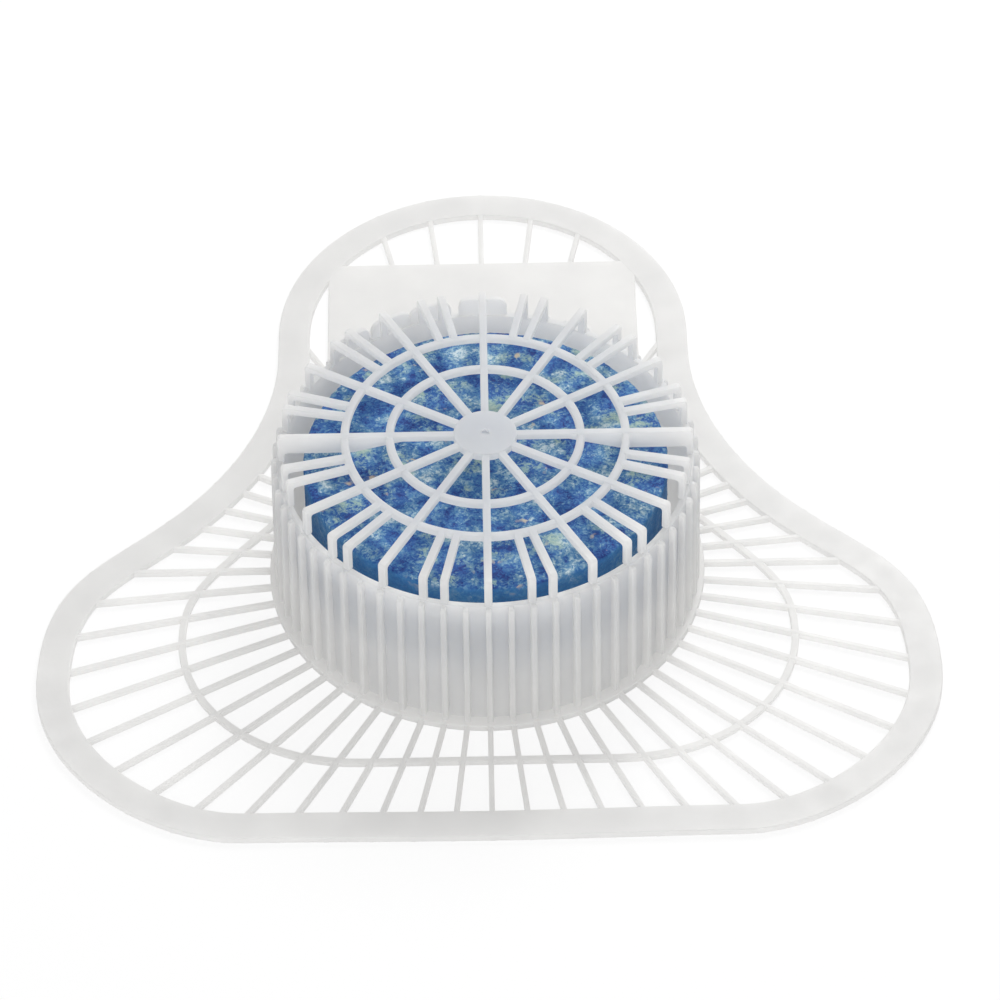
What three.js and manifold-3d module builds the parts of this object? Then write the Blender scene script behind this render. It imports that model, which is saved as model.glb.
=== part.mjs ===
// Urinal deodorizer screen: a bell-shaped moulded screen whose round drum and cage hold a deodorizer block.
// Millimetres, +Z up. The flange lies on z = 0, its wide front faces -Y and its round back +Y.
// The origin is on the ground, in the middle of the length and the width.
import * as THREE from "three";
import { mergeVertices } from "three/addons/utils/BufferGeometryUtils.js";
import Module from "manifold-3d";

// Deodorizer block
const BLOCK_RADIUS = 37.6;
const BLOCK_HEIGHT = 18;
const BLOCK_EDGE = 1;
const BLOCK_PLAY = 2.4; // free height between the block and the deep webs above it
const BLOCK_CLEARANCE = 3.8; // between the block's side and the drum's wall
const SEAT_GAP = 0.3; // between the block and the lugs under it

// Drum: a plain wall with a fin outside it for each rib
const WALL = 1.4;
const WALL_TOP = 34.1;
const FIN_DEPTH = 1.2; // how far a fin stands out from the wall at its top
const FIN_DRAFT = 0.5; // how much farther it stands out at the ground
const FIN_WIDTH = 1.2;
const FIN_ROUND = 1;
const FIN_DROP = 0.2; // how far the fins end below the wall's top
const FOOT_WIDTH = 2.7; // the foot's ledge, outside the wall

// Flange: half widths and lengths, measured from the drum's axis
const FRONT_REACH = 74.7;
const BACK_REACH = 115.6;
const SIDE_REACH = 93;
const SIDE_Y = -31; // where the flange is widest
const FRONT_FLAT = 50; // half length of the nearly straight front edge
const FRONT_BOW = 0.5; // how far that edge bows forward in the middle
const FRONT_CORNER_PULL = 18; // the pulls are the lengths of the outline's curve handles
const SIDE_FRONT_PULL = 25;
const SIDE_BACK_PULL = 29;
const WAIST_X = 66; // a point on the slanted shoulder between the wide front and the back
const WAIST_Y = 15.8;
const WAIST_FRONT_PULL = 15;
const WAIST_BACK_PULL = 11;
const BACK_STRAIGHT = 6.8; // length of the back's straight sides, between the shoulder and the round end
const NECK_PULL = 20;
const BACK_RADIUS = 44.8;
const FLANGE_THICKNESS = 1.6;
const RIM_WIDTH = 6.8;
const RIB_WIDTH = 1.1;
const RIB_PITCH = 6; // degrees between ribs, and between the drum's fins
const LAST_SIDE_RIB = 150; // degrees from the front to the last rib that meets the rim beside the plate
const FIRST_BACK_RIB = 168;

// Ring half way out along the ribs
const RING_WIDTH = 1.5;
const RING_FRONT = 54;
const RING_FLAT = 26;
const RING_CORNER_PULL = 23;
const RING_SIDE = 63.4;
const RING_SIDE_Y = -20;
const RING_FRONT_PULL = 17;
const RING_BACK_PULL = 14;
const RING_TURN_X = 59.4; // the corner that the ring's curve heads for before it turns in to the drum
const RING_TURN_Y = -3;
const RING_END_Y = 17.5;

// Flat plate between the drum and the back rim
const PLATE_SLIT = 4; // between the plate and the rim on each side
const PLATE_END = 22.6; // from the plate's back edge to the end of the flange

// Small steps between the flange's parts, which keep their flat faces apart in height
const RIB_STEP = 0.1;
const RING_STEP = 0.2;
const PLATE_STEP = 0.05;
const LAP = 0.5; // how far joined parts run into each other

// Cage: hub, two rings, long spokes from the hub and pairs of short spokes from the outer ring
const CAGE_HEIGHT = 6.4; // from the wall's top to the top of the spokes
const CAGE_INSET = 0.35; // from the wall's outside to the ends of the spokes
const HUB_RADIUS = 6.5;
const HUB_THICKNESS = 1.8;
const HUB_STEP = 0.1; // how far the hub stands above the spokes
const GATE_RADIUS = 0.9;
const GATE_DEPTH = 0.5;
const INNER_RING = 19.5;
const OUTER_RING = 28.7;
const CAGE_RING_WIDTH = 1.7;
const CAGE_RING_DEPTH = 1.5;
const CAGE_RING_STEP = 0.1; // how far the rings lie below the spokes' tops
const SPOKE_WIDTH = 1.6;
const SPOKE_DEPTH = 1.5;
const WEB_DEPTH = 4.3; // of the two spokes that grow into a deep web towards the wall
const WEB_START = 17; // radius where a web begins to deepen
const WEB_FULL = 27.3; // radius where it has its whole depth
const LEG_THICKNESS = 1.35;
const LEG_ROOT = 1; // how far a leg or a tab reaches down into the wall
const LEG_FILLET = 0.6; // inside the corner between a spoke and its leg
const ELBOW = 0.8;
const LONG_SPOKES = 12;
const WEBBED_SPOKES = [90, 270]; // degrees from the front
const SHORT_SPOKE_OFFSETS = [12, 18]; // degrees after each long spoke

// Low tabs with rounded upper corners, which stand on the wall's edge at the back and to the left of it
const TAB_THICKNESS = 1.1;
const TAB_ROUND = 2.8;
const BACK_TAB_WIDTH = 10.2;
const BACK_TAB_HEIGHT = 4.5;
const LEFT_TAB_WIDTH = 9.2;
const LEFT_TAB_HEIGHT = 4;
const LEFT_TABS = [15.2, 27.4, 40.5]; // degrees from the back

// Lugs on the inside of the wall, under the block
const LUGS = 6;
const LUG_OVERLAP = 1.8; // how far a lug reaches under the block
const LUG_WIDTH = 3;
const LUG_TIP = 1;
const LUG_HEIGHT = 6.5;

const WALL_INNER = BLOCK_RADIUS + BLOCK_CLEARANCE;
const WALL_OUTER = WALL_INNER + WALL;
const WALL_MIDDLE = WALL_INNER + WALL / 2;
const FIN_TOP = WALL_TOP - FIN_DROP;
const FOOT_OUTER = WALL_OUTER + FOOT_WIDTH;
const CAGE_TOP = WALL_TOP + CAGE_HEIGHT;
const CAGE_REACH = WALL_OUTER - CAGE_INSET;
const BLOCK_TOP = CAGE_TOP - WEB_DEPTH - BLOCK_PLAY;
const BLOCK_BOTTOM = BLOCK_TOP - BLOCK_HEIGHT;
const BACK_ROUND_Y = BACK_REACH - BACK_RADIUS;
const NECK_Y = BACK_ROUND_Y - BACK_STRAIGHT; // where the shoulder runs out into the back
const PLATE_HALF_WIDTH = BACK_RADIUS - RIM_WIDTH - PLATE_SLIT;
const DRUM_Y = (FRONT_REACH - BACK_REACH) / 2;
const BAYS = 360 / RIB_PITCH; // the wall has one flat bay between two fins

const wasm = await Module();
wasm.setup();

function solidOf(geometry) {
  geometry.deleteAttribute("normal");
  geometry.deleteAttribute("uv");
  const merged = mergeVertices(geometry, 1e-4);
  return new wasm.Manifold(
    new wasm.Mesh({
      numProp: 3,
      vertProperties: new Float32Array(merged.attributes.position.array),
      triVerts: new Uint32Array(merged.index.array),
    }),
  );
}

function meshOf(name, solid, material) {
  const { vertProperties, triVerts } = solid.getMesh();
  const indexed = new THREE.BufferGeometry();
  indexed.setAttribute("position", new THREE.BufferAttribute(vertProperties, 3));
  indexed.setIndex(new THREE.BufferAttribute(triVerts, 1));
  const geometry = indexed.toNonIndexed();
  geometry.computeVertexNormals();
  const mesh = new THREE.Mesh(geometry, material);
  mesh.name = name;
  mesh.position.y = DRUM_Y;
  return mesh;
}

function join(solids) {
  return wasm.Manifold.union(solids);
}

// A flat outline raised from height bottom to height top.
function raised(shape, bottom, top) {
  const geometry = new THREE.ExtrudeGeometry(shape, {
    depth: top - bottom,
    bevelEnabled: false,
    curveSegments: 8,
  });
  geometry.translate(0, 0, bottom);
  return solidOf(geometry);
}

// A profile of [radius, height] points turned about the drum's axis.
function turned(profile, segments = BAYS) {
  const points = profile.map(([r, z]) => new THREE.Vector2(r, z));
  const geometry = new THREE.LatheGeometry(points, segments);
  geometry.rotateX(Math.PI / 2);
  return solidOf(geometry);
}

// A shape in the upright plane through the drum's axis, given a width and turned to an angle from the front.
function blade(shape, width, degrees, curveSegments = 2) {
  const geometry = new THREE.ExtrudeGeometry(shape, { depth: width, bevelEnabled: false, curveSegments });
  geometry.translate(0, 0, -width / 2);
  geometry.rotateX(Math.PI / 2);
  geometry.rotateZ(THREE.MathUtils.degToRad(degrees - 90));
  return solidOf(geometry);
}

function range(first, last, step) {
  const count = Math.round((last - first) / step) + 1;
  return Array.from({ length: count }, (_, i) => first + i * step);
}

// The right half of the bell, from the middle of its front edge to the middle of its back.
function bellHalf() {
  const path = new THREE.Path();
  const frontCorner = -FRONT_REACH + FRONT_BOW;
  const side = [SIDE_REACH, SIDE_Y - SIDE_FRONT_PULL];
  const waist = [WAIST_X + WAIST_FRONT_PULL, WAIST_Y - WAIST_FRONT_PULL];
  const shoulder = [WAIST_X - WAIST_BACK_PULL, WAIST_Y + WAIST_BACK_PULL];
  path.moveTo(0, -FRONT_REACH);
  path.lineTo(FRONT_FLAT, frontCorner);
  path.bezierCurveTo(FRONT_FLAT + FRONT_CORNER_PULL, frontCorner, ...side, SIDE_REACH, SIDE_Y);
  path.bezierCurveTo(SIDE_REACH, SIDE_Y + SIDE_BACK_PULL, ...waist, WAIST_X, WAIST_Y);
  path.bezierCurveTo(...shoulder, BACK_RADIUS, NECK_Y - NECK_PULL, BACK_RADIUS, NECK_Y);
  path.lineTo(BACK_RADIUS, BACK_ROUND_Y);
  path.absarc(0, BACK_ROUND_Y, BACK_RADIUS, 0, Math.PI / 2, false);
  return path.getPoints(8);
}

// The whole outline, anticlockwise, from its right half.
function mirrored(half) {
  const left = half.slice(1, -1).reverse();
  return [...half, ...left.map((p) => new THREE.Vector2(-p.x, p.y))];
}

// Points moved sideways by a distance: to the left of the direction in which they run.
function offset(points, distance, closed) {
  const last = points.length - 1;
  return points.map((p, i) => {
    const before = points[i > 0 ? i - 1 : closed ? last : 0];
    const after = points[i < last ? i + 1 : closed ? 0 : last];
    const along = after.clone().sub(before).normalize();
    return new THREE.Vector2(p.x - along.y * distance, p.y + along.x * distance);
  });
}

function rim(outer) {
  const shape = new THREE.Shape(outer);
  shape.holes.push(new THREE.Path(offset(outer, RIM_WIDTH, true)));
  return raised(shape, 0, FLANGE_THICKNESS);
}

// Ribs from the drum's foot to the middle of the rim, all cut to the rim's outline.
function ribs(outer) {
  const side = range(-LAST_SIDE_RIB, LAST_SIDE_RIB, RIB_PITCH);
  const back = range(FIRST_BACK_RIB, 360 - FIRST_BACK_RIB, RIB_PITCH);
  const reach = Math.max(FRONT_REACH, BACK_REACH) + SIDE_REACH;
  const all = [...side, ...back].map((degrees) => {
    const bar = new THREE.BoxGeometry(reach - WALL_OUTER, RIB_WIDTH, FLANGE_THICKNESS - 2 * RIB_STEP);
    bar.translate((WALL_OUTER + reach) / 2, 0, FLANGE_THICKNESS / 2);
    bar.rotateZ(THREE.MathUtils.degToRad(degrees - 90));
    return solidOf(bar);
  });
  const inside = new THREE.Shape(offset(outer, RIM_WIDTH / 2, true));
  return join(all).intersect(raised(inside, 0, FLANGE_THICKNESS));
}

// The ring half way out, which runs from one side of the drum round the front to the other.
function middleRing() {
  const path = new THREE.Path();
  path.moveTo(0, -RING_FRONT);
  path.lineTo(RING_FLAT, -RING_FRONT);
  const corner = [RING_FLAT + RING_CORNER_PULL, -RING_FRONT];
  path.bezierCurveTo(...corner, RING_SIDE, RING_SIDE_Y - RING_FRONT_PULL, RING_SIDE, RING_SIDE_Y);
  const endX = Math.sqrt((FOOT_OUTER - LAP) ** 2 - RING_END_Y ** 2);
  const turn = [RING_TURN_X, RING_TURN_Y];
  path.bezierCurveTo(RING_SIDE, RING_SIDE_Y + RING_BACK_PULL, ...turn, endX, RING_END_Y);
  const half = path.getPoints(7);
  const left = half.slice(1).reverse();
  const centre = [...left.map((p) => new THREE.Vector2(-p.x, p.y)), ...half];
  const outside = offset(centre, -RING_WIDTH / 2, false);
  const inside = offset(centre, RING_WIDTH / 2, false);
  return raised(new THREE.Shape([...outside, ...inside.reverse()]), RING_STEP, FLANGE_THICKNESS - RING_STEP);
}

function plate(outer) {
  const x = PLATE_HALF_WIDTH;
  const front = Math.sqrt((WALL_OUTER + LAP) ** 2 - x ** 2);
  const back = BACK_REACH - PLATE_END;
  const corners = [[x, front], [x, back], [-x, back], [-x, front]];
  const shape = new THREE.Shape(corners.map((corner) => new THREE.Vector2(...corner)));
  const inside = new THREE.Shape(offset(outer, RIM_WIDTH / 2, true));
  const sheet = raised(shape, PLATE_STEP, FLANGE_THICKNESS - 2 * PLATE_STEP);
  const hollow = turned(ringProfile(0, WALL_MIDDLE, -LAP, FLANGE_THICKNESS + LAP));
  return sheet.intersect(raised(inside, 0, FLANGE_THICKNESS)).subtract(hollow);
}

// A closed ring or disc section: inner and outer radius, bottom and top.
function ringProfile(inner, outer, bottom, top) {
  const section = [[inner, bottom], [outer, bottom], [outer, top], [inner, top]];
  return inner > 0 ? [...section, section[0]] : section;
}

function finShape() {
  const top = WALL_OUTER + FIN_DEPTH;
  const shape = new THREE.Shape();
  shape.moveTo(WALL_MIDDLE, FLANGE_THICKNESS / 2);
  shape.lineTo(top + FIN_DRAFT, FLANGE_THICKNESS / 2);
  shape.lineTo(top, FIN_TOP - FIN_ROUND);
  shape.quadraticCurveTo(top, FIN_TOP, top - FIN_ROUND, FIN_TOP);
  shape.lineTo(WALL_MIDDLE, FIN_TOP);
  return shape;
}

// A spoke from an inner radius to the cage's edge, and the leg that carries it on the wall.
function spokeShape(innerRadius, webbed) {
  const shallow = CAGE_TOP - SPOKE_DEPTH;
  const underside = webbed ? CAGE_TOP - WEB_DEPTH : shallow;
  const legInner = CAGE_REACH - LEG_THICKNESS;
  const shape = new THREE.Shape();
  shape.moveTo(innerRadius, CAGE_TOP);
  shape.lineTo(innerRadius, shallow);
  if (webbed) {
    shape.lineTo(WEB_START, shallow);
    shape.lineTo(WEB_FULL, underside);
  }
  shape.lineTo(legInner - LEG_FILLET, underside);
  shape.quadraticCurveTo(legInner, underside, legInner, underside - LEG_FILLET);
  shape.lineTo(legInner, WALL_TOP);
  shape.lineTo(WALL_MIDDLE, WALL_TOP - LEG_ROOT);
  shape.lineTo(CAGE_REACH, WALL_TOP - LEG_ROOT);
  shape.lineTo(CAGE_REACH, CAGE_TOP - ELBOW);
  shape.quadraticCurveTo(CAGE_REACH, CAGE_TOP, CAGE_REACH - ELBOW, CAGE_TOP);
  return shape;
}

function spokes() {
  const step = 360 / LONG_SPOKES;
  const starts = range(0, 360 - step, step);
  const plain = spokeShape(HUB_RADIUS - LAP, false);
  const webbed = spokeShape(HUB_RADIUS - LAP, true);
  const short = spokeShape(OUTER_RING, false);
  return starts.flatMap((degrees) => [
    blade(WEBBED_SPOKES.includes(degrees) ? webbed : plain, SPOKE_WIDTH, degrees),
    ...SHORT_SPOKE_OFFSETS.map((more) => blade(short, SPOKE_WIDTH, degrees + more)),
  ]);
}

function cageRing(radius, segments) {
  const half = CAGE_RING_WIDTH / 2;
  const top = CAGE_TOP - CAGE_RING_STEP;
  return turned(ringProfile(radius - half, radius + half, top - CAGE_RING_DEPTH, top), segments);
}

function hub() {
  const top = CAGE_TOP + HUB_STEP;
  const disc = turned(ringProfile(0, HUB_RADIUS, top - HUB_THICKNESS, top), 3 * LONG_SPOKES);
  return disc.subtract(turned(ringProfile(0, GATE_RADIUS, top - GATE_DEPTH, top + LAP), LONG_SPOKES));
}

// A flat tab on the wall's top edge, some degrees to the left of the back.
function tab(width, height, degrees) {
  const half = width / 2;
  const bottom = WALL_TOP - LEG_ROOT;
  const top = WALL_TOP + height;
  const shape = new THREE.Shape();
  shape.moveTo(-half, bottom);
  shape.lineTo(half, bottom);
  shape.lineTo(half, top - TAB_ROUND);
  shape.quadraticCurveTo(half, top, half - TAB_ROUND, top);
  shape.lineTo(TAB_ROUND - half, top);
  shape.quadraticCurveTo(-half, top, -half, top - TAB_ROUND);
  const geometry = new THREE.ExtrudeGeometry(shape, {
    depth: TAB_THICKNESS,
    bevelEnabled: false,
    curveSegments: 4,
  });
  geometry.rotateX(Math.PI / 2);
  geometry.translate(0, WALL_OUTER, 0);
  geometry.rotateZ(THREE.MathUtils.degToRad(degrees));
  return solidOf(geometry);
}

// A lug with a flat top just under the block and a slanted underside.
function lug(degrees) {
  const top = BLOCK_BOTTOM - SEAT_GAP;
  const tip = BLOCK_RADIUS - LUG_OVERLAP;
  const shape = new THREE.Shape();
  shape.moveTo(WALL_MIDDLE, top);
  shape.lineTo(tip, top);
  shape.lineTo(tip, top - LUG_TIP);
  shape.lineTo(WALL_MIDDLE, top - LUG_HEIGHT);
  return blade(shape, LUG_WIDTH, degrees);
}

function screen() {
  const outline = mirrored(bellHalf());
  const step = 360 / LUGS;
  const body = join([
    rim(outline),
    ribs(outline),
    middleRing(),
    plate(outline),
    turned(ringProfile(WALL_INNER, WALL_OUTER, 0, WALL_TOP)),
    turned(ringProfile(WALL_MIDDLE - LAP, FOOT_OUTER, PLATE_STEP, FLANGE_THICKNESS)),
    ...range(0, 360 - RIB_PITCH, RIB_PITCH).map((degrees) => blade(finShape(), FIN_WIDTH, degrees, 1)),
    ...spokes(),
    cageRing(INNER_RING, 3 * LONG_SPOKES),
    cageRing(OUTER_RING, 4 * LONG_SPOKES),
    hub(),
    tab(BACK_TAB_WIDTH, BACK_TAB_HEIGHT, 0),
    ...LEFT_TABS.map((degrees) => tab(LEFT_TAB_WIDTH, LEFT_TAB_HEIGHT, degrees)),
    ...range(0, 360 - step, step).map(lug),
  ]);
  const material = new THREE.MeshStandardMaterial({ color: 0xe9ecf1, roughness: 0.45, metalness: 0 });
  return meshOf("screen", body, material);
}

function block() {
  const inner = BLOCK_RADIUS - BLOCK_EDGE;
  const body = turned([
    [0, BLOCK_BOTTOM],
    [inner, BLOCK_BOTTOM],
    [BLOCK_RADIUS, BLOCK_BOTTOM + BLOCK_EDGE],
    [BLOCK_RADIUS, BLOCK_TOP - BLOCK_EDGE],
    [inner, BLOCK_TOP],
    [0, BLOCK_TOP],
  ]);
  const material = new THREE.MeshStandardMaterial({ color: 0x10306e, roughness: 0.9, metalness: 0 });
  return meshOf("deodorizer_block", body, material);
}

const object = new THREE.Group();
object.add(screen(), block());

export default object;
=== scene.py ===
import math
from contextlib import contextmanager

import bmesh
import bpy
from bpy.props import FloatProperty, FloatVectorProperty, IntProperty, PointerProperty
from bpy.types import Operator, Panel, PropertyGroup
from mathutils import Matrix, Vector


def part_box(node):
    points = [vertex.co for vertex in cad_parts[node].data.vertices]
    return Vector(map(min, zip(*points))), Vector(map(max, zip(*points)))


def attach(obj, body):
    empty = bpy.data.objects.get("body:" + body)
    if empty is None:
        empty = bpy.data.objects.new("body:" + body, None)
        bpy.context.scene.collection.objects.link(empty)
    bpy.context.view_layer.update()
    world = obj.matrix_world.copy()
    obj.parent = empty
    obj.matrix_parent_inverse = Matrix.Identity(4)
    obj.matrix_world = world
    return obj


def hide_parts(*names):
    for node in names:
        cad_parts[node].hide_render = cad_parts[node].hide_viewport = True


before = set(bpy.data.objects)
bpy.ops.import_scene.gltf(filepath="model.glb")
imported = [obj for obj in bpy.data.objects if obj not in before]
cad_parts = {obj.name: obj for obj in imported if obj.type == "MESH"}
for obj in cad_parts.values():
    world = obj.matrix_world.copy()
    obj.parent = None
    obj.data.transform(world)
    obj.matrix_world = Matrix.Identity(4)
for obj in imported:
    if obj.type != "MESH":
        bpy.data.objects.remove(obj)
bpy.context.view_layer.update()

bl_info = {
    "name": "Urinal deodorizer screen",
    "version": (1, 0, 0),
    "blender": (4, 5, 0),
    "location": "3D View > Sidebar > Urinal screen",
    "description": "Models a moulded urinal screen whose drum and cage hold a pressed deodorizer block",
    "category": "Object",
}

# The construction's own sizes, in metres
BLOCK_LOW, BLOCK_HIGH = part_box("deodorizer_block")
SCREEN_LOW, SCREEN_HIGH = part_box("screen")
DRUM = Vector(((BLOCK_LOW.x + BLOCK_HIGH.x) / 2, (BLOCK_LOW.y + BLOCK_HIGH.y) / 2, 0))
SMALLEST = 1e-6  # points closer than this are one point

ARC_HANDLE = 4 / 3 * math.tan(math.pi / 8)  # a quarter circle's handle, as a share of its radius
MOULDED = []  # names of the solids that the moulding is joined from

# Sides of the round forms
DRUM_SIDES = 240
RING_SIDES = 144
HUB_SIDES = 96
BLOCK_SIDES = 192


def length(name, description, value):
    """A length in metres that a user may change."""
    return FloatProperty(name=name, description=description, default=value, unit="LENGTH", precision=5)


def spot(name, description, value):
    """A place in metres that a user may change."""
    return FloatVectorProperty(
        name=name, description=description, default=value, subtype="TRANSLATION", unit="LENGTH", size=3
    )


def share(name, description, value):
    """A share from 0 to 1 that a user may change."""
    return FloatProperty(name=name, description=description, default=value, min=0, max=1)


def tint(name, description, value):
    """A colour that a user may change."""
    return FloatVectorProperty(name=name, description=description, default=value, subtype="COLOR", size=3)


class FlangeSizes(PropertyGroup):
    """Sizes of the flat flange, measured from the drum's axis."""

    front: length("Front", "From the drum's axis to the middle of the front edge", DRUM.y - SCREEN_LOW.y)
    back: length("Back", "From the drum's axis to the end of the round back", SCREEN_HIGH.y - DRUM.y)
    side: length("Side", "Half of the greatest width", SCREEN_HIGH.x)
    side_y: length("Widest place", "Where the flange is widest, behind the drum's axis", -0.031)
    front_flat: length("Front flat", "Half length of the nearly straight front edge", 0.05)
    front_bow: length("Front bow", "How far the front edge bows out in the middle", 0.0005)
    front_pull: length("Front pull", "Length of the curve handle at the front corner", 0.018)
    side_front_pull: length("Side front pull", "Length of the handle in front of the widest place", 0.025)
    side_back_pull: length("Side back pull", "Length of the handle behind the widest place", 0.029)
    waist_x: length("Waist X", "A point on the slanted shoulder", 0.066)
    waist_y: length("Waist Y", "The same point's distance behind the drum's axis", 0.0158)
    waist_front_pull: length("Waist front pull", "Handle in front of the waist, along X and Y", 0.015)
    waist_back_pull: length("Waist back pull", "Handle behind the waist, along X and Y", 0.011)
    back_radius: length("Back radius", "Radius of the round back", 0.0448)
    back_straight: length("Back straight", "Straight sides before the round back", 0.0068)
    neck_pull: length("Neck pull", "Handle where the shoulder runs out into the back", 0.02)
    thickness: length("Thickness", "Thickness of the rim", 0.0016)
    rim_width: length("Rim width", "Width of the flat rim", 0.0068)
    rib_width: length("Rib width", "Width of a flange rib", 0.0011)
    rib_step: length("Rib step", "How far the ribs lie inside the rim's faces", 0.0001)
    ring_width: length("Ring width", "Width of the ring half way out", 0.0015)
    ring_step: length("Ring step", "How far that ring lies inside the rim's faces", 0.0002)
    ring_front: length("Ring front", "From the drum's axis to the ring's front", 0.054)
    ring_flat: length("Ring flat", "Half length of the ring's straight front", 0.026)
    ring_corner_pull: length("Ring corner pull", "Handle at the end of the straight front", 0.023)
    ring_side: length("Ring side", "Half of the ring's width", 0.0634)
    ring_side_y: length("Ring's widest place", "Where the ring is widest, behind the drum's axis", -0.02)
    ring_front_pull: length("Ring front pull", "Handle in front of the ring's widest place", 0.017)
    ring_back_pull: length("Ring back pull", "Handle behind the ring's widest place", 0.014)
    ring_turn_x: length("Ring turn X", "The corner that the ring heads for before the drum", 0.0594)
    ring_turn_y: length("Ring turn Y", "The same corner's distance behind the drum's axis", -0.003)
    ring_end_y: length("Ring end", "Where the ring meets the drum", 0.0175)
    plate_slit: length("Plate slit", "Slit between the plate and the rim on each side", 0.004)
    plate_end: length("Plate end", "From the plate's back edge to the end of the flange", 0.0226)
    plate_step: length("Plate step", "How far the plate lies inside the rim's faces", 0.00005)
    rib_pitch: IntProperty(name="Rib pitch", description="Degrees between two ribs", default=6)
    last_side_rib: IntProperty(name="Last side rib", description="Degrees from the front", default=150)
    first_back_rib: IntProperty(name="First back rib", description="Degrees from the front", default=168)


class DrumSizes(PropertyGroup):
    """Sizes of the drum that stands on the flange."""

    wall_inner: length("Wall inner radius", "Inner radius of the drum's wall", 0.0414)
    wall: length("Wall", "Thickness of the wall", 0.0014)
    top: length("Wall top", "Height of the wall", 0.0341)
    fin_depth: length("Fin depth", "How far a fin stands out at its top", 0.0012)
    fin_draft: length("Fin draft", "How much farther it stands out at the ground", 0.0005)
    fin_width: length("Fin width", "Width of a fin", 0.0012)
    fin_round: length("Fin round", "Rounding of a fin's top", 0.001)
    fin_drop: length("Fin drop", "How far the fins end below the wall's top", 0.0002)
    foot: length("Foot", "Width of the ledge round the foot", 0.0027)
    tab_thickness: length("Tab thickness", "Thickness of the tabs on the wall's edge", 0.0011)
    tab_round: length("Tab round", "Rounding of a tab's corners", 0.0028)
    back_tab_width: length("Back tab width", "Width of the tab in the middle of the back", 0.0102)
    back_tab_height: length("Back tab height", "Height of that tab over the wall", 0.0045)
    left_tab_width: length("Left tab width", "Width of the tabs to the left of it", 0.0092)
    left_tab_height: length("Left tab height", "Height of those tabs over the wall", 0.004)
    lug_overlap: length("Lug overlap", "How far a lug reaches under the block", 0.0018)
    lug_width: length("Lug width", "Width of a lug", 0.003)
    lug_tip: length("Lug tip", "Height of a lug's tip", 0.001)
    lug_height: length("Lug height", "Height of a lug at the wall", 0.0065)
    seat_gap: length("Seat gap", "Between the block and the lugs", 0.0003)
    lugs: IntProperty(name="Lugs", description="Number of lugs", default=6)


class CageSizes(PropertyGroup):
    """Sizes of the cage of spokes over the block."""

    top: length("Top", "Height of the spokes' top edges", 0.0405)
    inset: length("Inset", "From the wall's outside to the ends of the spokes", 0.00035)
    hub_radius: length("Hub radius", "Radius of the hub", 0.0065)
    hub_thickness: length("Hub thickness", "Thickness of the hub", 0.0018)
    hub_step: length("Hub step", "How far the hub stands above the spokes", 0.0001)
    gate_radius: length("Gate radius", "Radius of the small mark in the hub", 0.0009)
    gate_depth: length("Gate depth", "Depth of that mark", 0.0005)
    inner_ring: length("Inner ring", "Middle radius of the inner ring", 0.0195)
    outer_ring: length("Outer ring", "Middle radius of the outer ring", 0.0287)
    ring_width: length("Ring width", "Width of the rings", 0.0017)
    ring_depth: length("Ring depth", "Height of the rings", 0.0015)
    ring_step: length("Ring step", "How far the rings lie below the spokes' tops", 0.0001)
    spoke_width: length("Spoke width", "Width of a spoke", 0.0016)
    depth: length("Spoke depth", "Height of a spoke", 0.0015)
    web_depth: length("Web depth", "Height of the two spokes that grow into a deep web", 0.0043)
    web_start: length("Web start", "Radius where a web begins to deepen", 0.017)
    web_full: length("Web full", "Radius where a web has its whole depth", 0.0273)
    leg: length("Leg thickness", "Thickness of the leg that a spoke turns down into", 0.00135)
    leg_root: length("Leg root", "How far a leg reaches down into the wall", 0.001)
    leg_fillet: length("Leg fillet", "Rounding inside the corner between a spoke and its leg", 0.0006)
    elbow: length("Elbow", "Rounding where a spoke turns down", 0.0008)
    long_spokes: IntProperty(name="Long spokes", description="Spokes that start at the hub", default=12)
    short_first: IntProperty(name="First short spoke", description="Degrees after a long one", default=12)
    short_second: IntProperty(name="Second short spoke", description="Degrees after a long one", default=18)


class SoftEdges(PropertyGroup):
    """How round the moulded edges are."""

    edge: length("Edge", "Rounding of the moulded edges", 0.0003)
    fine_edge: length("Fine edge", "Rounding of the thin ribs' edges", 0.00022)
    cage_edge: length("Cage edge", "Rounding of the spokes' and rings' edges", 0.00045)
    block_edge: length("Block edge", "Rounding of the block's edge", 0.001)
    flake: length("Flake size", "Size of the block's flakes", 0.0011)
    roughness: length("Block roughness", "Depth of the block's uneven surface", 0.00028)
    lap: length("Lap", "How far joined parts run into each other", 0.0005)
    block_mesh: length("Block mesh", "Size of the faces that the block's surface is made of", 0.0006)


class Finishes(PropertyGroup):
    """Colours of the plastic and of the block."""

    plastic: tint("Plastic", "Milky plastic", (0.855, 0.852, 0.846))
    plastic_cloud: tint("Plastic clouds", "Denser clouds in the plastic", (0.885, 0.882, 0.874))
    navy: tint("Navy", "Darkest flakes", (0.008, 0.035, 0.20))
    blue: tint("Blue", "Most of the flakes", (0.020, 0.105, 0.35))
    steel: tint("Steel blue", "Duller, paler flakes", (0.075, 0.22, 0.42))
    pale: tint("Pale blue", "Pale flakes", (0.27, 0.43, 0.54))
    white: tint("Whitish", "Palest flakes", (0.58, 0.68, 0.72))
    green: tint("Pale green", "Greenish patches", (0.34, 0.46, 0.36))
    straw: tint("Straw", "A few straw-coloured patches", (0.62, 0.50, 0.34))
    side: tint("Side blue", "The block's smoother side", (0.034, 0.175, 0.41))
    glow: share("Glow", "Share of the plastic that lets light through", 0.63)


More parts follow.
